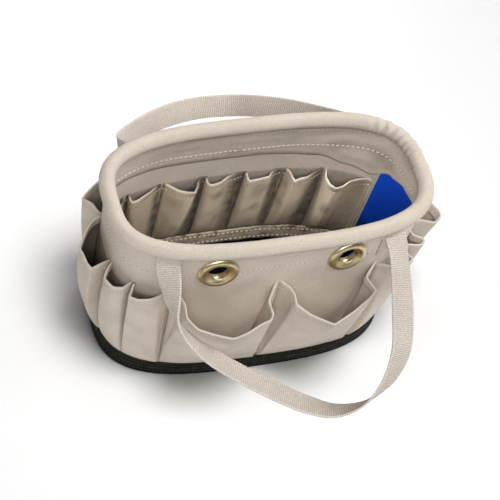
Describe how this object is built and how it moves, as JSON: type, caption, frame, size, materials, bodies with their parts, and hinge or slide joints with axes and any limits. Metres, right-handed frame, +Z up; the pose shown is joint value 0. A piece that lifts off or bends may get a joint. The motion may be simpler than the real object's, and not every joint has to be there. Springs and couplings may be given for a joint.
{
  "type": "tool bucket bag",
  "caption": "Oval open-topped canvas tool bag with a corded rim, webbing carry handles, brass eyelets, open pockets inside and outside, and a dark coated base.",
  "frame": {"origin": "middle of the flat underside of the base", "axes": "+Z up out of the mouth, X along the long axis of the oval, -Y towards the front wall with the eyelets"},
  "size_m": [0.4088, 0.4308, 0.2285],
  "materials": {
    "canvas": "matt woven canvas",
    "webbing": "matt ribbed webbing",
    "base": "coated cloth, satin",
    "brass": "polished",
    "blue_lining": "plain lining",
    "floor": "coated cloth, satin"
  },
  "bodies": {
    "root": {"base_tray": "base", "floor_liner": "floor", "body_wall": "canvas", "hem_band": "canvas", "rim_roll": "canvas", "grommet_left": "brass", "grommet_right": "brass", "front_pocket_left": "canvas", "front_pocket_right": "canvas", "left_pocket_1": "canvas", "left_pocket_2": "canvas", "left_pocket_3": "canvas", "left_pocket_4": "canvas", "right_pocket_1": "canvas", "right_pocket_2": "canvas", "right_pocket_3": "canvas", "right_pocket_4": "canvas", "back_pocket_left": "canvas", "back_pocket_right": "canvas", "inner_pocket_1": "canvas", "inner_pocket_2": "canvas", "inner_pocket_3": "canvas", "inner_pocket_4": "canvas", "inner_pocket_5": "canvas", "inner_pocket_6": "canvas", "inner_pocket_7": "canvas", "inner_pocket_8": "canvas", "inner_binding": "canvas", "blue_end_panel": "blue_lining", "handle_front": "webbing", "handle_back": "webbing"}
  },
  "joints": []
}
